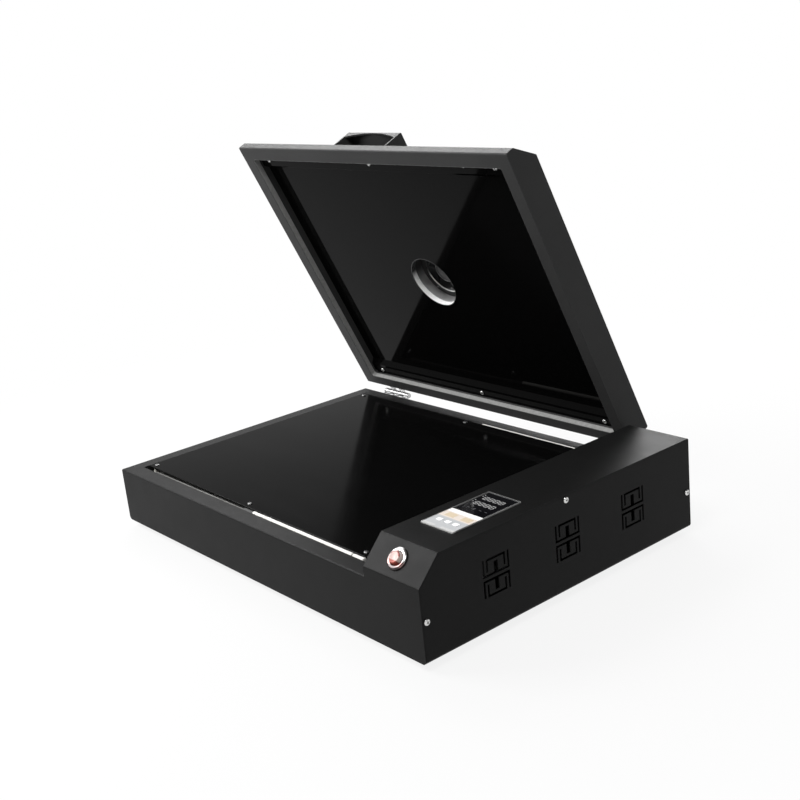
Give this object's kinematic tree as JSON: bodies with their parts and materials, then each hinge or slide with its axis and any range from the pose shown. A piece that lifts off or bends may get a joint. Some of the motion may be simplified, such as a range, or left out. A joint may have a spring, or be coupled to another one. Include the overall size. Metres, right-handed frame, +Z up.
{
  "type": "dtf curing oven",
  "caption": "Bench oven for curing transfer film: low black case with a flat heated plate, hinged lid with a fan, and a control box with controller, button and vents.",
  "frame": {"origin": "on the surface under the feet, below the centre of the bounding box with the lid open", "axes": "+X to the right along the front, +Y to the back, +Z up"},
  "size_m": [0.592, 0.4472, 0.4712],
  "materials": {
    "body_paint": "satin black powder coat",
    "gloss_black": "gloss black non-stick coat",
    "clip_black": "dull black",
    "chrome": "polished plating",
    "screw_steel": "plated",
    "bright_sheet": "galvanised sheet",
    "rubber_black": "matte",
    "silicone": "matte",
    "white_fibre": "felted ceramic fibre",
    "ceramic": "unglazed ceramic",
    "probe_steel": "drawn tube",
    "black_plastic": "fine grain",
    "window_black": "clear over black",
    "keypad_pale": "printed film",
    "key_grey": "satin",
    "cap_red": "translucent red",
    "motor_steel": "plated can",
    "sink_aluminium": "extruded"
  },
  "bodies": {
    "base": {"body_shell": "body_paint", "wrap": "body_paint", "heating_plate": "gloss_black", "plate_clips": "clip_black", "left_hinge_base_leaf": "chrome", "left_hinge_pin": "chrome", "right_hinge_base_leaf": "chrome", "right_hinge_pin": "chrome", "button_bezel": "chrome", "side_screws": "screw_steel", "foot_screws": "screw_steel", "plate_screws": "screw_steel", "base_hinge_screws": "screw_steel", "inlet_screws": "screw_steel", "button_nut": "screw_steel", "heat_pan": "bright_sheet", "partition": "bright_sheet", "controller_clamps": "bright_sheet", "rubber_feet": "rubber_black", "base_grommet": "rubber_black", "heater_mat": "silicone", "insulation_blanket": "white_fibre", "insulation_board": "white_fibre", "insulation_strips": "white_fibre", "plate_spacers": "ceramic", "temperature_sensor": "probe_steel", "controller_case": "black_plastic", "controller_bezel": "black_plastic", "power_inlet": "black_plastic", "terminal_block": "black_plastic", "solid_state_relay": "black_plastic", "controller_window": "window_black", "controller_keypad": "keypad_pale", "heat_sink": "sink_aluminium"},
    "button": {"button_cap": "cap_red"},
    "key_1": {"key_1": "key_grey"},
    "key_2": {"key_2": "key_grey"},
    "key_3": {"key_3": "key_grey"},
    "fan": {"fan_rotor": "black_plastic"},
    "lid": {"lid_shell": "body_paint", "lid_liner": "gloss_black", "liner_screws": "screw_steel", "lid_insulation": "white_fibre", "fan_collar": "bright_sheet", "duct_sleeve": "clip_black", "fan_guard": "body_paint", "fan_frame": "black_plastic", "fan_motor": "motor_steel", "fan_screws": "screw_steel", "handle": "body_paint", "handle_screws": "screw_steel", "left_hinge_lid_leaf": "chrome", "right_hinge_lid_leaf": "chrome", "lid_hinge_screws": "screw_steel", "lid_grommet": "rubber_black"}
  },
  "joints": [
    {"name": "lid_hinge", "type": "hinge", "parent": "base", "child": "lid", "pos_m": [-0.0318, 0.1937, 0.0776], "axis": [-1, 0, 0], "range_deg": [-65.1, 15]},
    {"name": "fan_spin", "type": "hinge", "parent": "lid", "child": "fan", "pos_m": [-0.0435, 0.14593, 0.28833], "axis": [0, 0.907, 0.421], "continuous": true},
    {"name": "button_press", "type": "slide", "parent": "base", "child": "button", "axis": [0, 0.7134, -0.7007], "range_m": [0, 0.002], "stiffness_N_per_m": 800, "springref_m": -0.001},
    {"name": "key_1_press", "type": "slide", "parent": "base", "child": "key_1", "axis": [0, 0, -1], "range_m": [0, 0.0005], "stiffness_N_per_m": 1500, "springref_m": -0.0004},
    {"name": "key_2_press", "type": "slide", "parent": "base", "child": "key_2", "axis": [0, 0, -1], "range_m": [0, 0.0005], "stiffness_N_per_m": 1500, "springref_m": -0.0004},
    {"name": "key_3_press", "type": "slide", "parent": "base", "child": "key_3", "axis": [0, 0, -1], "range_m": [0, 0.0005], "stiffness_N_per_m": 1500, "springref_m": -0.0004}
  ]
}
